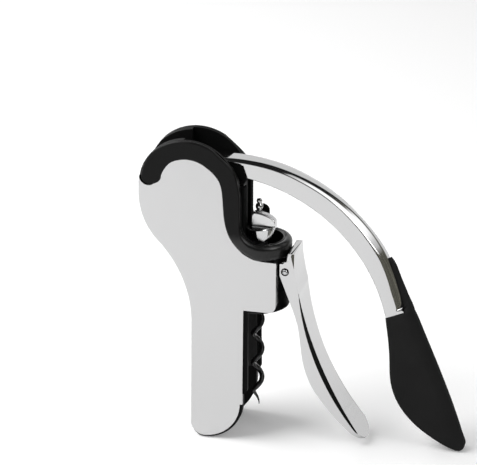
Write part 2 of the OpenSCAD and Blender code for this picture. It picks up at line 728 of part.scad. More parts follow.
// Crescent cut along each outer edge: a cone through both ends of the edge, deepest half way
crescent_deep = 1.4;
crescent_wide = 3.75;
edge_ends = [for (a = clamp_ends) clamp_outer + clamp_outer_radius * [cos(a), sin(a)]];
edge_half = norm(edge_ends[1] - edge_ends[0]) / 2;
edge_mid = (edge_ends[0] + edge_ends[1]) / 2;
edge_sag = clamp_outer_radius - sqrt(pow(clamp_outer_radius, 2) - pow(edge_half, 2)) + crescent_deep;
crescent_radius = (pow(edge_half, 2) + pow(edge_sag, 2)) / (2 * edge_sag);
crescent = edge_mid + (crescent_radius - edge_sag) * (clamp_outer - edge_mid) / norm(clamp_outer - edge_mid);
module crescent_cut() translate([clamp_x + crescent[0], -clamp_half - crescent_wide / 3, clamp_z + crescent[1]])
    rotate([-90, 0, 0]) cylinder(r1 = crescent_radius + crescent_deep / 3, r2 = crescent_radius - crescent_deep,
        h = crescent_wide * 4 / 3, $fn = 360);

module clamp_lever() seat(bright) difference() {
    intersection() {
        at_clamp(-clamp_half, clamp_half) clamp2d();
        clamp_tongue();
    }
    at_clamp(-clamp_half + flank, clamp_half - flank) clamp_hollow2d();
    across(clamp_x, clamp_z, clamp_pin_radius + run_gap, -far_reach, far_reach);
    crescent_cut();
    far() crescent_cut();
}

// Soft jaw with a trough that fits the neck when the clamp is closed
module clamp_pad() seat(rubber) difference() {
    at_clamp(-clamp_half + flank, clamp_half - flank) intersection() {
        clamp2d();
        difference() {
            translate([-40, -64 * clamp_k]) square([90, 64 * clamp_k - 27]);
            translate(clamp_outer) circle(clamp_outer_radius + clamp_wall, $fn = 720);
        }
    }
    translate([clamp_x, 0, clamp_z]) rotate([0, -clamp_swing, 0]) translate([screw_offset - clamp_x, 0, -far_reach])
        cylinder(r = neck_radius - 0.7, h = 2 * far_reach);
}

core_near();
core_far();
side_cover_near();
side_cover_far();
head_band_near();
head_band_far();
cork_tube();
collar_ring();
screw_nut();
bottle_seat();
neck_pad();
rail_near();
rail_far();
lever_axle();
frame_screws();
frame_nuts();
clamp_pin();
lever_hub();
hub_bush();
gear_sector();
lever_arm();
lever_grip();
grip_tang();
grip_pins();
rack();
carriage_bracket();
shaft_bearing();
hub_cap();
cap_stud();
screw_shaft();
shaft_collar();
screw_worm();
clamp_lever();
clamp_pad();
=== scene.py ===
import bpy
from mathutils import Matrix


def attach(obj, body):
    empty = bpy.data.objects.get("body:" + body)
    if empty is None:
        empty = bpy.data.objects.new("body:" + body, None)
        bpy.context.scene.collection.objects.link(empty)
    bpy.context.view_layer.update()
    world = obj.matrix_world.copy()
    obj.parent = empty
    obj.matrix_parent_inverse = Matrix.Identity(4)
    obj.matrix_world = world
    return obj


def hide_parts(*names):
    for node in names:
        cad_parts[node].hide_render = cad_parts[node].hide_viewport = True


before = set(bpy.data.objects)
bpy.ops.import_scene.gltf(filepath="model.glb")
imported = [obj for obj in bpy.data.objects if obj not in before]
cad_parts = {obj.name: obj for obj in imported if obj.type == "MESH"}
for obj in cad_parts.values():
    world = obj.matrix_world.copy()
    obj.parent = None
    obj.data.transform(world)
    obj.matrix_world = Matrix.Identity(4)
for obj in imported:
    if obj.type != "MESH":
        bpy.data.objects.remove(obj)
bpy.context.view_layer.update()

import math

import bmesh
import bpy
from mathutils import Vector


# Viewpoint: a long lens a little to the right of the piece and above it, so the legs, the open head
# and the lever are all seen at once. It is level, with no shift and no blur.
MM = 0.001
view_mid = Vector((-38.1, 0, 116)) * MM
view_from = Vector((252.2, -1164.4, 600.8)) * MM
focal_pixels, frame_pixels, film_mm = 2383.6, 477, 36

viewer = bpy.data.cameras.new("viewer")
viewer.sensor_fit = "HORIZONTAL"
viewer.sensor_width = film_mm
viewer.lens = focal_pixels * film_mm / frame_pixels
viewer.clip_start, viewer.clip_end = 0.05, 20
camera = bpy.data.objects.new("viewer", viewer)
camera.location = view_from
camera.rotation_euler = (view_mid - view_from).to_track_quat("-Z", "Y").to_euler()
bpy.context.scene.collection.objects.link(camera)
bpy.context.scene.camera = camera
bpy.context.scene.view_settings.view_transform = "Standard"


# Table and room: a white table top under a large soft lamp at the upper left, with white all round.
# A few dim stretches of room give bright metal its dark lines, and the top ends a little way past the
# grip on the right, so that the arm mirrors one of them there.
class Wire:
    """A shader socket that works in sums; add() makes any other node."""

    def __init__(self, tree, socket=None):
        self.tree, self.socket = tree, socket

    def feed(self, node, inputs):
        for key, value in inputs.items():
            if isinstance(value, Wire):
                self.tree.links.new(value.socket, node.inputs[key])
            else:
                node.inputs[key].default_value = value

    def add(self, kind, settings=None, inputs=None, out=0):
        node = self.tree.nodes.new("ShaderNode" + kind)
        for key, value in (settings or {}).items():
            setattr(node, key, value)
        self.feed(node, inputs or {})
        return Wire(self.tree, node.outputs[out] if node.outputs else None)

    def sum(self, operation, a, b):
        return self.add("Math", {"operation": operation}, {0: a, 1: b})

    def mix(self, share, a, b):
        return self.add("Mix", {"data_type": "RGBA"}, {0: share, 6: a, 7: b}, 2)

    def part(self, axis):
        return self.add("SeparateXYZ", None, {0: self}, axis)

    def limits(self, low, high):
        return self.add("MapRange", {"interpolation_type": "SMOOTHSTEP"}, {0: self, 1: low, 2: high})

    def __add__(self, other):
        return self.sum("ADD", self, other)

    def __sub__(self, other):
        return self.sum("SUBTRACT", self, other)

    def __rsub__(self, other):
        return self.sum("SUBTRACT", other, self)

    def __mul__(self, other):
        return self.sum("MULTIPLY", self, other)

    __radd__, __rmul__ = __add__, __mul__


def grey(level, tint=(0, 0, 0)):
    return (level + tint[0], level + tint[1], level + tint[2], 1)


def sees_background(wire):
    rays = ("Glossy", "Transmission", "Camera")
    return sum(wire.add("LightPath", None, None, f"Is {ray} Ray") for ray in rays)


floor_size, floor_right = 3.0, 0.32
floor_white, floor_glow, floor_grain = 0.86, 0.18, 0.04
sheet = bpy.data.meshes.new("table")
floor_corners = [(-floor_size, -floor_size, 0), (floor_right, -floor_size, 0), (floor_right, floor_size, 0),
                 (-floor_size, floor_size, 0)]
sheet.from_pydata(floor_corners, [], [(0, 1, 2, 3)])
table = bpy.data.objects.new("table", sheet)
bpy.context.scene.collection.objects.link(table)

paper = bpy.data.materials.new("white_table")
paper.use_nodes = True
paper.node_tree.nodes.clear()
wire = Wire(paper.node_tree)
grain = wire.add("TexNoise", None, {"Scale": 60.0, "Detail": 3.0})
white = wire.mix(grain * floor_grain, grey(floor_white), grey(floor_white - floor_grain))
matt = wire.add("BsdfDiffuse", None, {"Color": white})
glow = wire.add("Emission", None, {"Strength": floor_glow})
lit = wire.add("AddShader", None, {0: matt, 1: glow})
shown = wire.add("MixShader", None, {0: sees_background(wire), 1: matt, 2: lit})
wire.add("OutputMaterial", None, {"Surface": shown})
sheet.materials.append(paper)

room = bpy.data.worlds.new("room")
bpy.context.scene.world = room
room.use_nodes = True
room.node_tree.nodes.clear()
wire = Wire(room.node_tree)
looking = wire.add("TexCoord", None, None, "Generated")
to_right, to_back, to_up = looking.part(0), looking.part(1), looking.part(2)
dim_ceiling = to_up.limits(0.6, 0.68) * (0.27 - to_right).limits(0.0, 0.08)
dim_front = (-0.5 - to_back).limits(0.0, 0.12) * (to_up + to_right.limits(0.2, 0.4)).limits(0.1, 0.25)
dim_side = to_right.limits(0.66, 0.78) * (1 - to_up.limits(0.3, 0.4)) * (to_back + 0.8).limits(0.0, 0.15)
dim_wall = to_back.limits(0.6, 0.66) * (0.87 - to_back).limits(0.0, 0.04) * to_up.limits(0.1, 0.2)
panes = wire.add("TexNoise", {"noise_dimensions": "1D"}, {
    "W": to_back * 8.0 - to_up * 2.4, "Scale": 4.0, "Detail": 1.0,
})
olive = wire.mix(panes.limits(0.48, 0.62), (0.1, 0.097, 0.08, 1), (0.3, 0.29, 0.24, 1))
dark = wire.mix(to_right.limits(0.4, 0.6), grey(0.02), olive)
soft_box = to_right.limits(0.3, 0.45) * (0.62 - to_back).limits(0.0, 0.1) * to_up.limits(0.4, 0.5)
bright = wire.mix(soft_box, grey(1.0), grey(2.0))
tone = wire.mix((dim_ceiling + dim_side + dim_front + dim_wall).limits(0.0, 1.0), bright, dark)
even = wire.add("Background", None, {"Color": grey(1.0), "Strength": 0.31})
mirrored = wire.add("Background", None, {"Color": tone, "Strength": 0.95})
plain = wire.add("Background", None, {"Color": grey(1.0), "Strength": 1.0})
both = wire.add("MixShader", None, {0: sees_background(wire), 1: even, 2: mirrored})
seen = wire.add("MixShader", None, {0: wire.add("LightPath", None, None, "Is Camera Ray"), 1: both, 2: plain})
wire.add("OutputWorld", None, {"Surface": seen})


def lamp(name, place, size, watts, target=(-0.02, 0, 0.07)):
    light = bpy.data.lights.new(name, "AREA")
    light.shape = "RECTANGLE"
    light.size, light.size_y = size
    light.energy = watts
    holder = bpy.data.objects.new(name, light)
    holder.location = place
    holder.rotation_euler = (Vector(target) - Vector(place)).to_track_quat("-Z", "Y").to_euler()
    bpy.context.scene.collection.objects.link(holder)


lamp("soft_lamp_left", (-1.0, -0.3, 1.2), (1.4, 0.8), 26)
lamp("soft_lamp_right", (1.1, -0.5, 0.85), (0.5, 0.7), 4)
lamp("soft_lamp_back", (-0.9, 1.0, 1.1), (0.6, 0.5), 3)


# Frame halves: two moulded shells of black nylon, screwed together with the legs spread a little.
# They show as a dark rim beside each leg and inside the open head.
def outline_edges(shape, angle):
    return [e for e in shape.edges if len(e.link_faces) == 2 and e.calc_face_angle_signed(0) > angle]


def settle(shape, name, crease=32):
    mesh = bpy.data.meshes.new(name)
    shape.to_mesh(mesh)
    shape.free()
    mesh.shade_smooth()
    mesh.set_sharp_from_angle(angle=math.radians(crease))
    piece = bpy.data.objects.new(name, mesh)
    bpy.context.scene.collection.objects.link(piece)
    even_out = piece.modifiers.new("even_shading", "WEIGHTED_NORMAL")
    even_out.keep_sharp = True
    return piece


def eased_copy(node, name, ease, steps=2, angle=28):
    shape = bmesh.new()
    shape.from_mesh(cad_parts[node].data)
    bmesh.ops.remove_doubles(shape, verts=shape.verts, dist=0.002 * MM)
    nearly_flat = math.radians(0.4)
    bmesh.ops.dissolve_limit(shape, angle_limit=nearly_flat, verts=shape.verts, edges=shape.edges)
    edges = outline_edges(shape, math.radians(angle))
    bmesh.ops.bevel(shape, geom=edges, offset=ease * MM, offset_type="OFFSET", segments=steps, profile=0.5,
                    affect="EDGES", clamp_overlap=True)
    return settle(shape, name)


def fit(piece, body, slot, finish, *nodes):
    piece.data.materials.clear()
    piece.data.materials.append(finish)
    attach(piece, body)
    if nodes:
        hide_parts(*nodes)
    return piece


def new_finish(name):
    finish = bpy.data.materials.new(name)
    finish.use_nodes = True
    shader = finish.node_tree.nodes["Principled BSDF"]
    wire = Wire(finish.node_tree)
    return finish, shader, wire, wire.add("TexCoord", None, None, "Object")


def noise(place, per_metre, detail=3.0, rough=0.55):
    return place.add("TexNoise", None, {
        "Vector": place, "Scale": per_metre, "Detail": detail, "Roughness": rough,
    })


def moulded(name, level, sheen, gloss, grain_depth, glaze=None):
    finish, shader, wire, place = new_finish(name)
    cloud, fine = noise(place, 45.0), noise(place, 2600.0, 2.0)
    # Convex edges found by pointiness are painted lighter, up to 2.2 times the base level: a painted edge
    # highlight.
    edge = wire.add("NewGeometry", None, None, "Pointiness").limits(0.5, 0.62)
    colour = wire.mix(cloud, grey(level * 0.8), grey(level * 1.2))
    colour = wire.mix(edge * 0.5, colour, grey(level * 2.2))
    bump = wire.add("Bump", None, {"Strength": 0.35, "Distance": grain_depth * MM, "Height": fine})
    wire.feed(shader, {
        "Base Color": colour, "Roughness": gloss + cloud * 0.08 + fine * 0.06, "Normal": bump,
        "Specular IOR Level": sheen, "IOR": 1.47,
    })
    if glaze:
        wire.feed(shader, {"Coat Weight": glaze(place), "Coat Roughness": 0.22})
    return finish


black_moulding = moulded("black_moulding", 0.004, 0.07, 0.42, 0.02)
for side in ("near", "far"):
    half_shell = eased_copy(f"core_{side}", f"frame_half_{side}", 0.45)
    fit(half_shell, "frame", "dark_plastic", black_moulding, f"core_{side}")


# Side covers: thin shells with a bright satin plating, pressed onto the frame halves with pegs.
# Their edges are rolled over, so a light line runs round each one.
def plated(name, level, gloss, ripple):
    finish, shader, wire, place = new_finish(name)
    slow, smear, fine = noise(place, 9.0, 1.0), noise(place, 130.0, 4.0), noise(place, 1900.0, 2.0)
    colour = wire.mix(slow, grey(level - 0.02), grey(level + 0.02, (0, 0, 0.004)))
    height = slow + fine * 0.004
    bump = wire.add("Bump", None, {"Strength": 0.5, "Distance": ripple * MM, "Height": height})
    wire.feed(shader, {
        "Base Color": colour, "Metallic": 1.0, "Normal": bump,
        "Roughness": gloss + smear * 0.05 + slow * 0.03,
    })
    return finish


satin_plating = plated("satin_plating", 0.54, 0.16, 1.6)
for side in ("near", "far"):
    cover = eased_copy(f"side_cover_{side}", f"bright_cover_{side}", 0.9, 4)
    fit(cover, "frame", "chrome", satin_plating, f"side_cover_{side}")


# Head bands and collar ring: one soft black moulding that starts over the near side of the head, sweeps
# down, turns forward round the mouth of the cork tube and climbs back over the far side of the head.
pivot = Vector((-63.2, 0, 143))
spread = math.tan(math.radians(2.3))
screw_x, collar_z = -27.2, 107.4
rightward, upward, nearward = Vector((1, 0, 0)), Vector((0, 0, 1)), Vector((0, -1, 0))


def spline(points, steps):
    line = []
    for i in range(len(points) - 1):
        a, b, c, d = (points[min(max(i + k, 0), len(points) - 1)] for k in (-1, 0, 1, 2))
        for k in range(steps):
            t = k / steps
            line.append(b + ((c - a) * t + (2 * a - 5 * b + 4 * c - d) * t ** 2
                             + (3 * b - a - 3 * c + d) * t ** 3) / 2)
    return line + [points[-1]]


def spaced(line, count):
    """The same line with evenly spaced points."""
    runs = [0.0]
    for a, b in zip(line, line[1:]):
        runs.append(runs[-1] + (b - a).length)
    even, k = [], 0
    for i in range(count):
        want = runs[-1] * i / (count - 1)
        while k < len(line) - 2 and runs[k + 1] < want:
            k += 1
        share = (want - runs[k]) / max(runs[k + 1] - runs[k], 1e-9)
        even.append(line[k].lerp(line[k + 1], share))
    return even


def along(t, *pairs):
    for (t0, v0), (t1, v1) in zip(pairs, pairs[1:]):
        if t <= t1:
            return v0 + (v1 - v0) * max(0.0, t - t0) / (t1 - t0)
    return pairs[-1][1]


def bow(centre, radius, a, b, count):
    angles = [math.radians(a + (b - a) * i / count) for i in range(count + 1)]
    return [Vector((centre[0] + radius * math.cos(t), centre[1] + radius * math.sin(t))) for t in angles]


def rounded_section(middle, across, out, wide, thick, corner, steps=5, corner_in=None):
    """Points round a bar's section: half sizes along across and out, with rounded corners."""
    ring = []
    for quarter, (sx, sy) in enumerate(((1, 1), (-1, 1), (-1, -1), (1, -1))):
        ease = corner_in if corner_in and sx < 0 else corner
        for k in range(steps + 1):
            turn = math.pi / 2 * (quarter + k / steps)
            x = sx * (wide - ease) + ease * math.cos(turn)
            y = sy * (thick - ease) + ease * math.sin(turn)
            ring.append(middle + across * x + out * y)
    return ring


def skin(name, rings, crease=32, looped=False):
    """A closed skin over a run of sections, which is capped at both ends or runs round into itself."""
    shape = bmesh.new()
    rows = [[shape.verts.new(spot * MM) for spot in ring] for ring in rings]
    sides = len(rows[0])
    for low, high in zip(rows, rows[1:] + rows[:1] * looped):
        for j in range(sides):
            shape.faces.new((low[j], low[(j + 1) % sides], high[(j + 1) % sides], high[j]))
    if not looped:
        shape.faces.new(rows[0][::-1])
        shape.faces.new(rows[-1])
    bmesh.ops.remove_doubles(shape, verts=shape.verts, dist=0.001 * MM)
    bmesh.ops.recalc_face_normals(shape, faces=shape.faces)
    return settle(shape, name, crease)


head_radius, band_radius = 28, 17.8
band_turn, ring_top, ring_shift = 10.5, 115.5, 1.3
head = Vector((pivot.x, pivot.z))
collar = Vector((screw_x, collar_z))
outer_head = [(24.7, 14.6), (27.5, 9), (28.7, 3.6), (29.4, -2)]
inner_head = [(14.1, 11.6), (17.6, 7.4), (19.2, 2.8), (19.9, -2.9)]
inner_foot = [(-15.7, 27), (-15.1, 21.3), (-13.8, 15.7), (-11.3, 10.1), (-6.6, 4.6), (-1.2, 1.2)]
brow_angle, brow_radius, brow = 132, 24.07, head + Vector((-2.66, 2.96))
outer, inner = [], []
for turn in range(173, brow_angle, -4):
    radius = along(turn, (brow_angle, brow_radius), (150, brow_radius - 0.6), (165, brow_radius - 0.9),
                   (174, brow_radius - 1.3))
    outer += bow(brow, radius, turn, turn, 1)[:1]
outer += bow(head, head_radius, brow_angle, 58, 20)
for i in range(len(outer)):
    turn = 153 - 95 * i / (len(outer) - 1)
    radius = along(turn, (100, band_radius), (117, band_radius - 0.05), (126, band_radius - 0.5),
                   (154, band_radius - 2))
    inner += bow(head, radius, turn, turn, 1)[:1]
sweep_in = [inner[-1]] + [head + Vector(p) for p in inner_head] + [collar + Vector(p) for p in inner_foot]
turn_mid = (screw_x - 6.4 + band_turn, ring_top + band_turn)
sweep_out = [outer[-1]] + [head + Vector(p) for p in outer_head] + bow(turn_mid, band_turn, 180, 258, 6)
stations = 40
inner += spaced(spline(sweep_in, 8), stations)[1:]
outer += spaced(spline(sweep_out, 8), stations)[1:]
band_thick, band_edge, band_front = 1.15, 0.95, 15.1
ring_middle, ring_wide, ring_thick, ring_corner = 14.9, 4.3, 2.5, 2.45
ring_lift, ring_drop, ring_steps = 3.6, 0.6, 12
fill_stations, fill_proud = 14, 1.1
near_rings = []
tip_in, tip_out = inner[0], outer[0]
tip_run = Vector((tip_in.y - tip_out.y, tip_out.x - tip_in.x)).normalized()
tip_steps, tip_bulge = 7, 3.9
for k in range(tip_steps):
    turn = math.pi / 2 * k / tip_steps
    middle = (tip_in + tip_out) / 2 + tip_run * tip_bulge * math.cos(turn)
    half = (tip_out - tip_in) / 2 * max(0.08, math.sin(turn))
    inner.insert(k, middle - half)
    outer.insert(k, middle + half)
for i, (a, b) in enumerate(zip(inner, outer)):
    fill = max(0.0, (i - len(inner) + fill_stations + 1) / fill_stations)
    fill = fill * fill * (3 - 2 * fill)
    middle = (a + b) / 2
    across = Vector((b.x - a.x, 0, b.y - a.y))
    wide = across.length / 2
    thick = band_thick + (ring_thick - band_thick) * fill
    near_face = -band_front - (pivot.z - middle.y) * spread
    spot = Vector((middle.x, near_face + thick - fill_proud * fill, middle.y))
    corner = min(wide, band_edge + (ring_corner - band_edge) * fill)
    leaning = nearward + upward * spread
    near_rings.append(rounded_section(spot, across.normalized(), leaning, wide, thick, corner))
for k in range(1, ring_steps + 1):
    turn = math.radians(-90 + 90 * k / ring_steps)
    drop = ring_drop * k / ring_steps
    out = Vector((math.cos(turn), math.sin(turn), 0))
    spot = Vector((screw_x + ring_shift, 0, collar_z + ring_lift - drop)) + out * ring_middle
    near_rings.append(rounded_section(spot, upward, out, ring_wide + drop, ring_thick, ring_corner))
far_rings = [[Vector((p.x, -p.y, p.z)) for p in ring] for ring in near_rings[-2::-1]]


def round_mouth(place):
    """The part of the moulding that is smooth and shiny: the ring itself."""
    return place.part(0).limits(-0.05, -0.041) * (1 - place.part(2).limits(0.116, 0.122)) * 0.5


soft_black = moulded("soft_black", 0.004, 0.15, 0.32, 0.012, round_mouth)
fit(skin("black_band_and_ring", near_rings + far_rings), "frame", "dark_plastic", soft_black,
    "head_band_near", "head_band_far")
fit(eased_copy("collar_ring", "inner_ring", 0.5, 3), "frame", "dark_plastic", soft_black, "collar_ring")


# Cork tube and its inner parts: the moulded black tube under the ring, the steel disc that turns the
# screw, the soft seat pressed in below it and the soft lining of the trough.
fit(eased_copy("cork_tube", "cork_tube_body", 0.5, 3), "frame", "dark_plastic", black_moulding, "cork_tube")


def turned(name, level, gloss, tint=(0, 0, 0.01)):
    finish, shader, wire, place = new_finish(name)
    stretch = wire.add("Mapping", None, {"Vector": place, "Scale": (300.0, 300.0, 3000.0)})
    lines, cloud = noise(stretch, 1.0, 3.0), noise(place, 160.0)
    colour = wire.mix(cloud, grey(level * 0.9, tint), grey(level * 1.1, tint))
    bump = wire.add("Bump", None, {"Strength": 0.3, "Distance": 0.02 * MM, "Height": lines})
    wire.feed(shader, {
        "Base Color": colour, "Metallic": 1.0, "Normal": bump,
        "Roughness": gloss + lines * 0.12 + cloud * 0.06,
    })
    return finish


turned_steel = turned("turned_steel", 0.5, 0.24)
soft_rubber = moulded("soft_rubber", 0.016, 0.3, 0.62, 0.05)
fit(eased_copy("screw_nut", "turning_disc", 0.15, 1, 50), "frame", "steel", turned_steel, "screw_nut")
fit(eased_copy("bottle_seat", "bottle_seat_ring", 0.3), "frame", "rubber", soft_rubber, "bottle_seat")
fit(eased_copy("neck_pad", "trough_lining", 0.4), "frame", "rubber", soft_rubber, "neck_pad")


# Rails, axle and fasteners: black guides for the rack, the steel axle across the head, and the screws
# and nuts that hold the frame halves together under the covers.
dull_black = moulded("dull_black", 0.004, 0.015, 0.7, 0.02)
for side in ("near", "far"):
    guide = eased_copy(f"rail_{side}", f"rack_guide_{side}", 0.5)
    fit(guide, "frame", "dark_plastic", dull_black, f"rail_{side}")
for node, ease in (("lever_axle", 0.5), ("frame_screws", 0.25), ("frame_nuts", 0.25)):
    fit(eased_copy(node, node + "_steel", ease), "frame", "steel", turned_steel, node)


# Lever root: the black hub on its bronze bush, with the toothed steel sector below and the dark
# root that holds the bright arm.
sintered_bronze = turned("sintered_bronze", 0.4, 0.4, (0.14, 0.02, -0.15))
fit(eased_copy("lever_hub", "lever_root", 0.5), "lever", "dark_plastic", dull_black, "lever_hub")
fit(eased_copy("hub_bush", "axle_bush", 0.3), "lever", "bronze", sintered_bronze, "hub_bush")
fit(eased_copy("gear_sector", "toothed_sector", 0.15), "lever", "steel", turned_steel, "gear_sector")


# Lever arm: a cast bar with polished plating, bent in one long bow. Its outer edges carry a facet
# that starts as a thin line at the root and grows wide towards the grip.
def rounded_cut(wide, deep):
    """Depth and inset of points across a slightly swelled facet whose two edges are rounded."""
    low, high = Vector((deep, 0)), Vector((0, wide))
    span = (high - low).length
    run = (high - low) / span
    ease_low, ease_high = min(0.9, 0.3 * span), min(1.3, 0.3 * span)
    points = []
    for a, b, c in ((low + Vector((ease_low, 0)), low, low + run * ease_low),
                    (high - run * ease_high, high, high + Vector((0, ease_high)))):
        for k in range(5):
            t = k / 4
            points.append(a * (1 - t) ** 2 + b * 2 * t * (1 - t) + c * t ** 2)
    between, swell = span - ease_low - ease_high, Vector((-run.y, run.x)) * 0.1 * span
    points[5:5] = [low + run * (ease_low + between * t) + swell * t * (1 - t) for t in (0.25, 0.5, 0.75)]
    return points


def faceted_bar(name, points, half, cuts):
    """A bar from a side outline; cuts gives, for each point, the facet's width across and its depth."""
    count = len(points)
    inward = []
    for i in range(count):
        run = (points[(i + 1) % count] - points[i - 1]).normalized()
        inward.append(Vector((run.y, -run.x)))
    sections = [rounded_cut(*cut) for cut in cuts]
    steps = list(range(len(sections[0])))
    rows = []
    for side, order in ((-1, steps), (1, steps[::-1])):
        for k in order:
            row = []
            for i in range(count):
                deep, inset = sections[i][k]
                spot = points[i] + inward[i] * deep
                row.append(pivot + Vector((spot.x, side * (half - inset), spot.y)))
            rows.append(row)
    shape = bmesh.new()
    rings = [[shape.verts.new(spot * MM) for spot in row] for row in rows]
    for low, high in zip(rings, rings[1:]):
        for i in range(count):
            shape.faces.new((low[i], low[(i + 1) % count], high[(i + 1) % count], high[i]))
    caps = [shape.faces.new(rings[0][::-1]), shape.faces.new(rings[-1])]
    shape.normal_update()
    bmesh.ops.triangulate(shape, faces=caps)
    bmesh.ops.recalc_face_normals(shape, faces=shape.faces)
    return settle(shape, name, 40)


arm_top, arm_top_radius = (21.5, -83), 100.2
arm_low, arm_low_radius = (15.5, -86.6), 95
arm_half, arm_first, arm_last, strip, plain_edge = 6.4, 95.7, 12.2, 2.2, 0.35
facet_end, facet_close = 82.3, 0.6


def arm_outer(angle, under=0.0):
    """A point on the arm's outer line, which steps back a little below the lip of the grip."""
    step_back = along(arm_first - angle, (64, 0.0), (70, 0.7), (76, 1.3), (84, 1.3))
    return bow(arm_top, arm_top_radius - step_back - under, angle, angle, 1)[0]


arm_start = [Vector(p) for p in ((31.3, 7.4), (29.1, 14), (23.6, 14.8))]
arm_angles = [arm_first + (arm_last + 2 - arm_first) * i / 90 for i in range(91)]
arm_angles += [arm_last + 1.8 - 0.2 * i for i in range(10)]
top_line = [arm_outer(angle) for angle in arm_angles]
low_line = bow(arm_low, arm_low_radius, arm_last, 80.5, 40)
strip_line = bow(arm_top, arm_top_radius - strip, 88.8, arm_first, 6)
arm_points = top_line + low_line + arm_start + strip_line
facet = []
for angle in arm_angles:
    turn = arm_first - angle
    wide = along(turn, (0, 1.6), (12, 2.2), (18.7, 3.2), (28, 3.5), (35, 4.1), (43, 4.7), (50, 4.7),
                 (58, 4.1), (64, 3.9), (84, 4.1))
    deep = along(turn, (0, 1.0), (12, 1.0), (19, 0.7), (25, 0.75), (29, 1.0), (36, 1.15), (44, 1.45),
                 (50, 2.0), (58, 2.6), (64, 2.9), (69, 3.2), (75, 3.7), (84, 3.6))
    close = math.sqrt(max(0.002, 1 - max(0.0, (turn - facet_end) / facet_close) ** 2))
    facet.append((wide * close, deep * close))
arm_cuts = facet + [(plain_edge, plain_edge)] * (len(arm_points) - len(facet))
polished_plating = plated("polished_plating", 0.55, 0.06, 0.3)
arm = faceted_bar("bright_arm", arm_points, arm_half, arm_cuts)
fit(arm, "lever", "chrome", polished_plating, "lever_arm")


# Grip: a leaf of matt black soft plastic moulded over a steel tang, with a lip that climbs up the
# outside of the arm and a full, rounded lower end.
grip_end, grip_tip = Vector((149.7, -139.5)), 3.5
lip_start, lip_sunk = 29.5, 0.3
chrome_end = arm_outer(arm_last)
chrome_low = Vector((108.1, -66.5))
lip_line = spline([Vector(p) for p in (
    (109.7, -33.1), (111.9, -36.4), (115.4, -45.2), (118.3, -51.9), (120.6, -57.5),
)], 8)
outer_line = spline([Vector(p) for p in (
    (123.8, -64.7), (125.5, -68.4), (130.9, -81.1), (136.5, -94.2), (141.5, -106.4), (146.1, -118.2),
    (150.2, -129.2), (152.9, -138.1),
)], 8)
inner_line = spline([Vector(p) for p in (
    (108.1, -66.5), (109.7, -78), (110.7, -89), (111.1, -99.5), (112.2, -107), (114.7, -114.3),
    (118.7, -121.1), (124, -127.2), (130.2, -132.6), (137.5, -137.5), (143.2, -140.8), (148.2, -142.8),
)], 8)
lip_count, shoulder_count, body_count, tip_count = 14, 4, 30, 8
lip_outer = spaced(lip_line, lip_count)
lip_angles = [lip_start + (arm_last - lip_start) * i / (lip_count - 1) for i in range(lip_count)]
lip_inner = [arm_outer(angle, lip_sunk) for angle in lip_angles]
shoulder_outer = [lip_line[-1].lerp(outer_line[0], (k + 1) / shoulder_count) for k in range(shoulder_count)]
shoulder_inner = [chrome_end.lerp(chrome_low, (k + 1) / shoulder_count) for k in range(shoulder_count)]
body_outer, body_inner = spaced(outer_line, body_count)[1:], spaced(inner_line, body_count)[1:]
tip_outer = bow(grip_end, grip_tip, 22, -48, tip_count)[1:]
tip_inner = bow(grip_end, grip_tip, 245, 308, tip_count)[1:]
grip_rings = []
body_start = lip_count + shoulder_count
body_end = body_start + body_count
for i, (inside, outside) in enumerate(zip(lip_inner + shoulder_inner + body_inner + tip_inner,
                                          lip_outer + shoulder_outer + body_outer + tip_outer)):
    middle, reach = (inside + outside) / 2, outside - inside
    half = along(i, (0, 1.2), (3, 2.0), (lip_count - 3, 2.5), (lip_count - 1, 3.2), (lip_count, 5.0),
                 (lip_count + 1, 6.3), (body_start, 7.2), (body_start + 20, 7.3), (body_end - 5, 6.3),
                 (body_end, 4.6))
    tip = max(0.0, (i - body_end + 2) / tip_count)
    half *= math.sqrt(max(0.02, 1 - tip * tip))
    corner = along(i, (0, 0.6), (lip_count - 1, 1.4), (lip_count, 6.2), (90, 6.6))
    corner_in = along(i, (0, 0.3), (lip_count, 0.8), (body_start, 1.6), (body_start + 20, 3.4), (90, 3.4))
    long = max(reach.length / 2, 0.2)
    across = Vector((reach.x, 0, reach.y)).normalized()
    spot = pivot + Vector((middle.x, 0, middle.y))
    most = 0.96 * min(long, half)
    grip_rings.append(rounded_section(spot, across, nearward, long, half, min(corner, most), 8,
                                      min(corner_in, most)))
matt_grip = moulded("matt_grip", 0.018, 0.012, 0.6, 0.04)
fit(skin("matt_grip_leaf", grip_rings, 50), "lever", "grip_plastic", matt_grip, "lever_grip")
for node in ("grip_tang", "grip_pins"):
    fit(eased_copy(node, node + "_steel", 0.3), "lever", "steel", turned_steel, node)


# Carriage: the steel rack that the lever lifts, and the plated bracket that hangs the screw from it on
# a bronze bearing. Over the ring it shows a cup, a plate, a flange, a block and a small knob, with a
# dark tongue behind them.
# The rack's steel is given a near-black colour, so it shows dark inside the head.
near_black_steel = turned("near_black_steel", 0.02, 0.5, (0, 0, 0))
fit(eased_copy("rack", "steel_rack", 0.15), "carriage", "steel", near_black_steel, "rack")


def lathed(name, middle, profile, sides=48, left=-math.inf):
    """A turned piece from radius and height pairs, cut off straight at the left."""
    rings = []
    for radius, height in profile:
        ring = []
        for j in range(sides):
            turn = 2 * math.pi * j / sides
            x, y = middle.x + radius * math.cos(turn), middle.y + radius * math.sin(turn)
            ring.append(Vector((max(x, left), y, height)))
        rings.append(ring)
    return skin(name, rings, 30)
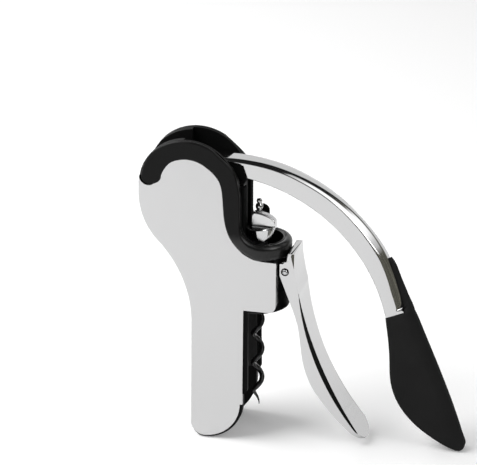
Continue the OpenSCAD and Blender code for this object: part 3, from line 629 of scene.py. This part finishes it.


# The cup's plating has a brighter base than the other plating, 0.72 against about 0.55: painted light that
# lifts the cup out of the shade inside the ring.
shade_lifted_plating = plated("shade_lifted_plating", 0.72, 0.12, 0.2)
satin_block = plated("satin_block", 0.6, 0.2, 0.2)
cup_foot, cup_slope, cup_shift, cup_near, cup_far = 114.9, 0.2, 3.5, -7.3, 5.0
cup_rings = []
for tall, wide in ((0, 2.9), (0.2, 3.6), (0.9, 4.6), (2.1, 5.5), (3.9, 6.1), (6.2, 6.5)):
    near, far = cup_near + cup_slope * tall, cup_far + cup_slope * tall
    middle = Vector((screw_x + cup_shift, (near + far) / 2, cup_foot + tall))
    cup_rings.append(rounded_section(middle, rightward, nearward, wide, (far - near) / 2, 0.6 * wide))
fit(skin("bracket_cup", cup_rings), "carriage", "chrome", shade_lifted_plating, "carriage_bracket")
plate_height, plate_half, plate_thick, plate_corner = 118.4, 4.0, 2.2, 0.6
plate_rings = []
for x, shrink in ((-6.4, 0.3), (-6.2, 0), (-1.0, 0), (0.6, 0)):
    middle = Vector((screw_x + x, 0, plate_height))
    plate_rings.append(rounded_section(middle, -nearward, upward, plate_half - shrink, plate_thick - shrink,
                                       plate_corner))
fit(skin("bracket_plate", plate_rings), "carriage", "chrome", polished_plating)
flange_profile = [(3.0, 120.9), (8.3, 121.0), (8.8, 121.2), (8.95, 121.5), (8.8, 121.8), (8.3, 122.0),
                  (5.0, 122.3), (0.4, 122.4)]
flange = lathed("bright_flange", Vector((screw_x - 0.2, 0, 0)), flange_profile, left=screw_x - 4.7)
fit(flange, "carriage", "chrome", polished_plating, "hub_cap")
block_foot, block_half, block_near, block_corner = 122.2, 2.5, -1.6, 1.0
block_top = spline([Vector(p) for p in (
    (-2.4, 127.6), (-2.0, 129.4), (-0.9, 130.2), (3.0, 129.7), (6.9, 128.4), (9.3, 126.8), (10.2, 125.6),
    (10.4, 124.4),
)], 5)
block_rings = []
for spot in block_top:
    tall = (spot.y - block_foot) / 2
    middle = Vector((screw_x + spot.x, block_near, block_foot + tall))
    block_rings.append(rounded_section(middle, upward, nearward, tall, block_half, block_corner))
fit(skin("bright_block", block_rings), "carriage", "chrome", satin_block)
stud_profile = [(0.9, 121.8), (1.0, 129.6), (1.6, 130.2), (2.05, 131.2), (2.1, 132.0), (1.85, 133.0),
                (1.2, 133.8), (1.15, 134.0), (1.5, 134.5), (1.6, 135.2), (1.3, 136.0), (0.7, 136.4),
                (0.2, 136.5)]
stud = lathed("bright_stud", Vector((screw_x + 0.4, 1.5, 0)), stud_profile, 24)
fit(stud, "carriage", "chrome", polished_plating, "cap_stud")
tongue_middle, tongue_round, tongue_half, tongue_corner = Vector((screw_x + 1.6, 5.2, 128.2)), 3.5, 1.5, 0.6
tongue_widths = [(rise, tongue_round) for rise in (-6.1, -3.0, 0.0)]
for k in range(1, 9):
    turn = math.radians(10.5 * k)
    tongue_widths.append((tongue_round * math.sin(turn), tongue_round * math.cos(turn)))
tongue_rings = []
for rise, wide in tongue_widths:
    corner = min(tongue_corner, 0.9 * wide)
    middle = tongue_middle + upward * rise
    tongue_rings.append(rounded_section(middle, rightward, nearward, wide, tongue_half, corner))
tongue = skin("dark_tongue", tongue_rings)
fit(tongue, "carriage", "dark_plastic", dull_black)
bearing = eased_copy("shaft_bearing", "bronze_bearing", 0.2)
fit(bearing, "carriage", "bronze", sintered_bronze, "shaft_bearing")


# Screw: one steel wire wound into an open worm with a drawn-out point, dipped in a slick black
# coating and held in the socket of a smooth shaft.
for node in ("screw_shaft", "shaft_collar"):
    fit(eased_copy(node, node + "_steel", 0.3), "screw", "steel", turned_steel, node)
screw_axis = Vector((screw_x, 0, 0))
coil_radius, wire_radius, coil_pitch, tip_height, wire_top = 2.5, 1.4, 17.5, 13.8, 94.0
coil_mark, coil_mark_turn = 65.9, 14
coil_lead = math.atan(coil_pitch / (2 * math.pi * coil_radius))
coil_steps, wire_sides = 280, 20
coil_rings = []
for i in range(coil_steps + 1):
    z = tip_height + (wire_top - tip_height) * i / coil_steps
    turn = math.radians(coil_mark_turn + 360 * (z - coil_mark) / coil_pitch)
    taper = min(1.0, (z - tip_height) / (0.7 * coil_pitch))
    thick = wire_radius * (0.12 + 0.88 * taper ** 0.8)
    outward = Vector((math.cos(turn), math.sin(turn), 0))
    tangent = Vector((-math.sin(turn), math.cos(turn), 0))
    across = tangent * -math.sin(coil_lead) + upward * math.cos(coil_lead)
    middle = screw_axis + outward * coil_radius * (0.35 + 0.65 * taper) + upward * z
    angles = [2 * math.pi * j / wire_sides for j in range(wire_sides)]
    coil_rings.append([middle + outward * thick * math.cos(t) + across * thick * math.sin(t) for t in angles])
slick_coating = moulded("slick_coating", 0.008, 0.5, 0.2, 0.01)
fit(skin("coated_worm", coil_rings, 40), "screw", "coated_steel", slick_coating, "screw_worm")


# Clamp lever: a cast and plated lever that swings on a domed rivet through the collar's lug. A thin dark ring
# on each face round the rivet head is painted shade for the groove there.
# Along each outer edge the slanted faces take the black moulding, a dark crescent of painted reflection, and
# a soft jaw is glued inside.
hinge = Vector((-9.4, 0, 100.4))
clamp = eased_copy("clamp_lever", "bright_clamp", 0.3, 2, 20)
crown_start, crown_rise, crown_taper, crown_tall = 104, 1.0, 0.12, 5.6
reflection_crescent_slope, reflection_crescent_top = (0.26, 0.46), hinge.z - 9
faces_out = 0.2
for vertex in clamp.data.vertices:
    height = vertex.co.z / MM
    share = min(1.0, max(0.0, (height - crown_start) / crown_tall))
    vertex.co.y *= 1 - crown_taper * share * share
    if vertex.normal.x > faces_out:
        vertex.co.x += MM * along(height, (86, 0), (92, 0.5), (98, 1.0), (104, 1.6), (110, 2.2))
    vertex.co.z += crown_rise * share * MM
fit(clamp, "clamp", "chrome", polished_plating, "clamp_lever")
# Slanted outer faces below the knuckle take the black moulding as a second material: the dark crescent is a
# painted reflection.
clamp.data.materials.append(black_moulding)
for face in clamp.data.polygons:
    slanted = reflection_crescent_slope[0] < abs(face.normal.y) < reflection_crescent_slope[1]
    if slanted and face.normal.x > faces_out and face.center.z < reflection_crescent_top * MM:
        face.material_index = 1
fit(eased_copy("clamp_pad", "soft_jaw", 0.5), "clamp", "rubber", soft_rubber, "clamp_pad")


def cross_lathed(name, middle, profile, looped=False, sides=32):
    """A turned piece that lies across the clamp, from radius and reach pairs."""
    turns = [2 * math.pi * j / sides for j in range(sides)]
    rings = [[middle + Vector((radius * math.cos(t), -reach, radius * math.sin(t))) for t in turns]
             for radius, reach in profile]
    return skin(name, rings, looped=looped)


rivet_head = [(0.2, 12.95), (0.7, 12.9), (1.2, 12.7), (1.5, 12.4), (1.6, 12.1), (1.45, 11.9)]
rivet_profile = rivet_head + [(radius, -reach) for radius, reach in rivet_head[::-1]]
rivet = cross_lathed("hinge_rivet", hinge, rivet_profile)
fit(rivet, "frame", "steel", turned("bright_rivet", 0.5, 0.08), "clamp_pin")
# Each thin dark ring round the rivet head, on the face of the lever, stands in for the shaded groove there:
# painted shade.
groove_shade_profile = [(1.7, 11.9), (2.2, 11.9), (2.2, 12.15), (2.1, 12.25), (1.7, 12.25)]
for side, way in (("near", 1), ("far", -1)):
    profile = [(radius, way * reach) for radius, reach in groove_shade_profile]
    groove_shade_ring = cross_lathed(f"hinge_groove_shade_{side}", hinge, profile, looped=True)
    fit(groove_shade_ring, "clamp", "dark_plastic", dull_black)
